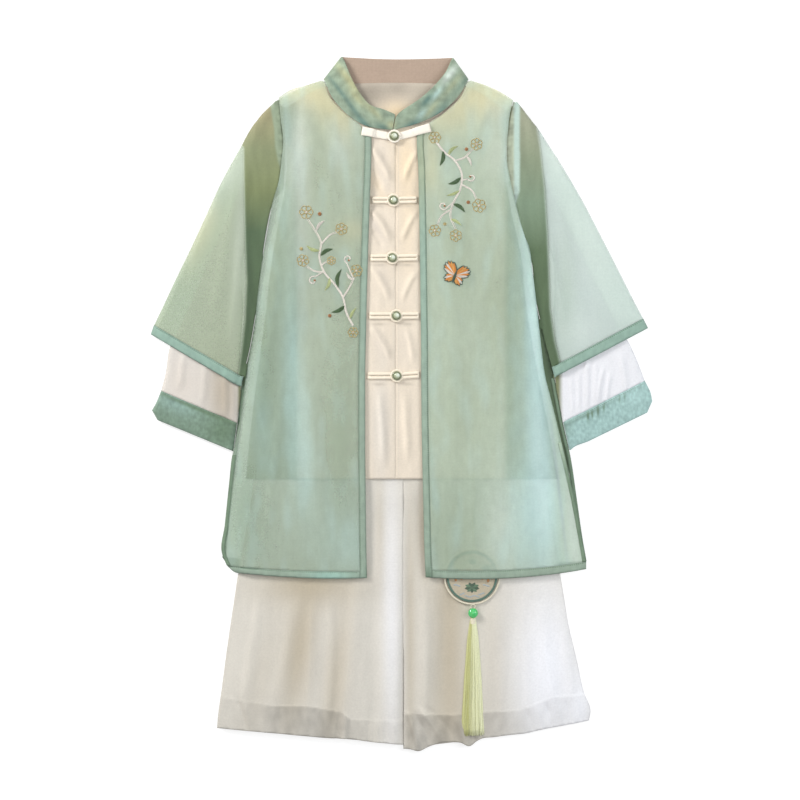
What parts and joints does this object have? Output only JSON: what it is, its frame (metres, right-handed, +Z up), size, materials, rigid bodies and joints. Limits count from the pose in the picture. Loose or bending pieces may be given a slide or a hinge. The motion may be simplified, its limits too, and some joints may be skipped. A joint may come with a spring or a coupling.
{
  "type": "child's hanfu set with an open over-robe, laid flat",
  "caption": "Child's hanfu set laid flat: sheer open over-robe with bound edges and knotted closures, a shirt and wide-leg trousers inside it, and a tasselled waist charm.",
  "frame": {"origin": "centre of the set's outline, on the surface that it lies on", "axes": "+Y towards the collar along the set's length, +X towards the wearer's left, +Z up from the surface"},
  "size_m": [0.603, 0.832, 0.0122],
  "materials": {
    "robe_sheer": "sheer pale green organza with a soft sheen",
    "robe_binding": "matt mid-green woven cloth, folded double",
    "shirt_cotton": "matt warm white cotton, lightly creased",
    "cuff_green": "matt blue-green woven cloth",
    "trouser_cotton": "matt off-white cotton under a thin veil",
    "frog_satin": "ivory satin cord with a soft sheen",
    "button_pearl": "pearly grey-green with a bright glint",
    "charm_cord": "fine twisted pale green thread",
    "charm_disc": "embroidered satin",
    "charm_piping": "cream piping",
    "charm_bead": "glossy jade green",
    "charm_silk": "pale yellow-green silk threads"
  },
  "bodies": {
    "root": {"robe_back": "robe_sheer", "robe_front_right": "robe_sheer", "robe_front_left": "robe_sheer", "robe_sleeve_right": "robe_sheer", "robe_sleeve_left": "robe_sheer", "robe_collar": "robe_binding", "robe_front_edge_right": "robe_binding", "robe_front_edge_left": "robe_binding", "robe_front_hem_right": "robe_binding", "robe_front_hem_left": "robe_binding", "robe_slit_binding_right": "robe_binding", "robe_slit_binding_left": "robe_binding", "robe_back_hem": "robe_binding", "robe_back_slit_binding_right": "robe_binding", "robe_back_slit_binding_left": "robe_binding", "robe_sleeve_hem_right": "robe_binding", "robe_sleeve_hem_left": "robe_binding", "shirt_back": "shirt_cotton", "shirt_front_right": "shirt_cotton", "shirt_front_left": "shirt_cotton", "shirt_sleeve_right": "shirt_cotton", "shirt_sleeve_left": "shirt_cotton", "shirt_cuff_right": "cuff_green", "shirt_cuff_left": "cuff_green", "trousers_front_right": "trouser_cotton", "trousers_front_left": "trouser_cotton", "trousers_back_right": "trouser_cotton", "trousers_back_left": "trouser_cotton", "trousers_waistband": "trouser_cotton", "frog_1_strap_right": "frog_satin", "frog_1_strap_left": "frog_satin", "frog_2_strap_right": "frog_satin", "frog_2_strap_left": "frog_satin", "frog_3_strap_right": "frog_satin", "frog_3_strap_left": "frog_satin", "frog_4_strap_right": "frog_satin", "frog_4_strap_left": "frog_satin", "frog_5_strap_right": "frog_satin", "frog_5_strap_left": "frog_satin", "frog_1_button": "button_pearl", "frog_2_button": "button_pearl", "frog_3_button": "button_pearl", "frog_4_button": "button_pearl", "frog_5_button": "button_pearl", "charm_cord": "charm_cord", "charm_disc": "charm_disc", "charm_rim": "charm_piping", "charm_bead": "charm_bead", "charm_tassel": "charm_silk"}
  },
  "joints": []
}
